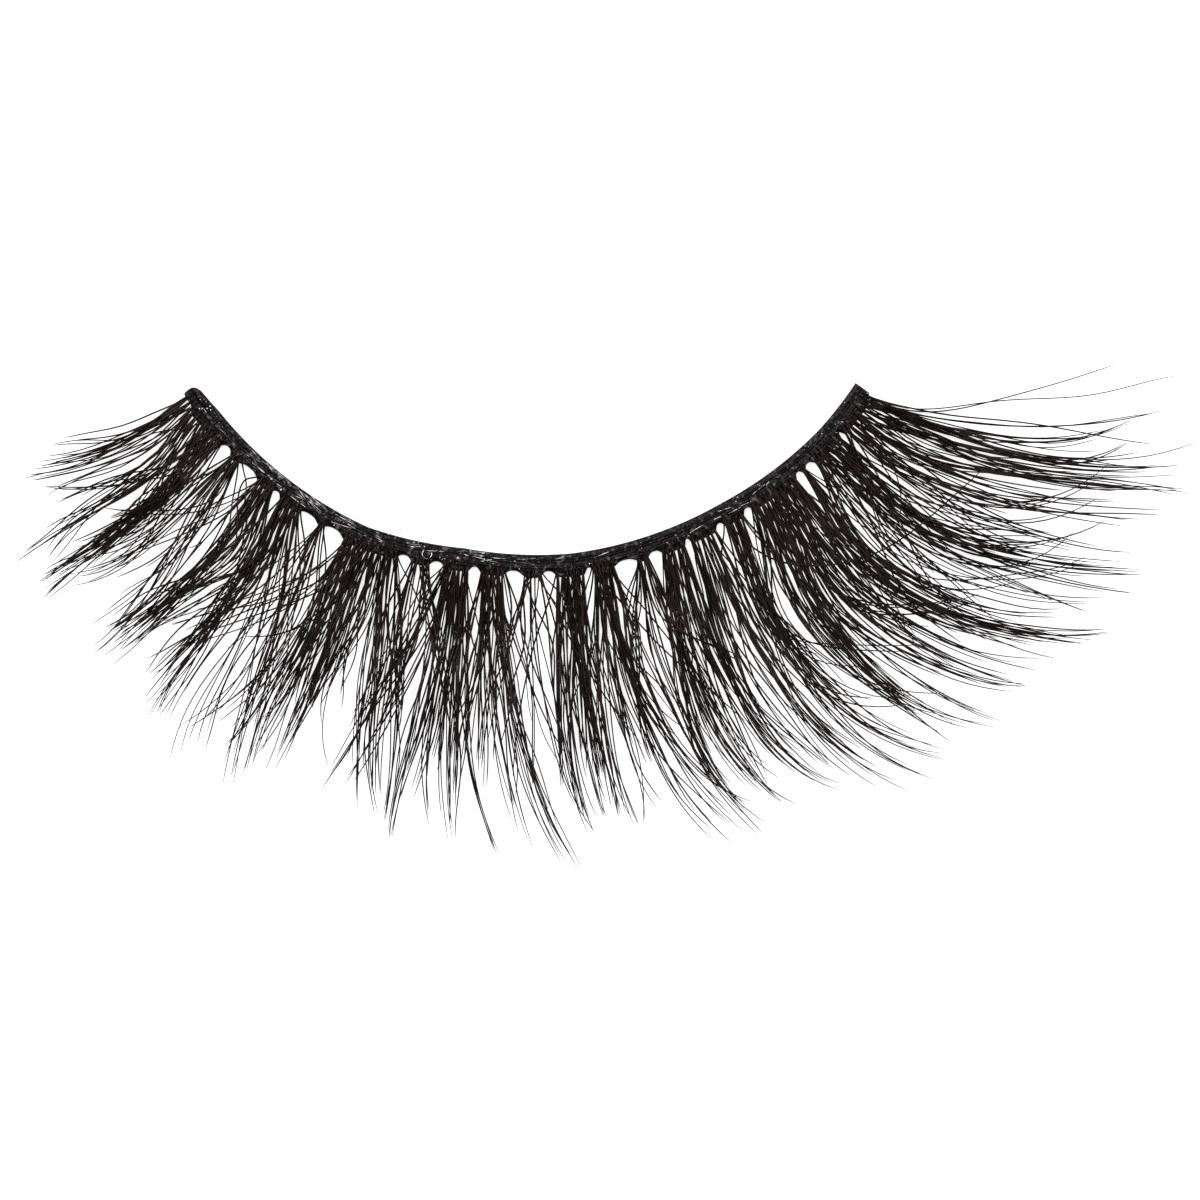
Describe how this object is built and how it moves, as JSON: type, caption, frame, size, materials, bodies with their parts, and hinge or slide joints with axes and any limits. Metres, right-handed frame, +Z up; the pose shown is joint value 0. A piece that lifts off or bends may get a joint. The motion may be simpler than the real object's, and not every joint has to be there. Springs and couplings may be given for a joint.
{
  "type": "false eyelash strip",
  "caption": "Dramatic false eyelash strip lying flat: a curved black band with glue webs and a row of tapered, curled lash clusters.",
  "frame": {"origin": "middle of the strip's box in plan, on the surface that it lies on", "axes": "+X towards the outer eye corner, +Y towards the eyelid edge that the band hugs, +Z up from the surface, the way the tips curl"},
  "size_m": [0.0498, 0.0208, 0.0063],
  "materials": {
    "band_black": "flexible black glue over fine thread, satin",
    "lash_black": "fine tapered near-black fibre with a soft gloss"
  },
  "bodies": {
    "root": {"band": "band_black", "lash_cluster_01": "lash_black", "lash_cluster_02": "lash_black", "lash_cluster_03": "lash_black", "lash_cluster_04": "lash_black", "lash_cluster_05": "lash_black", "lash_cluster_06": "lash_black", "lash_cluster_07": "lash_black", "lash_cluster_08": "lash_black", "lash_cluster_09": "lash_black", "lash_cluster_10": "lash_black", "lash_cluster_11": "lash_black", "lash_cluster_12": "lash_black", "lash_cluster_13": "lash_black", "lash_cluster_14": "lash_black", "lash_cluster_15": "lash_black", "lash_cluster_16": "lash_black", "lash_cluster_17": "lash_black", "lash_cluster_18": "lash_black", "lash_cluster_19": "lash_black", "lash_cluster_20": "lash_black"}
  },
  "joints": []
}
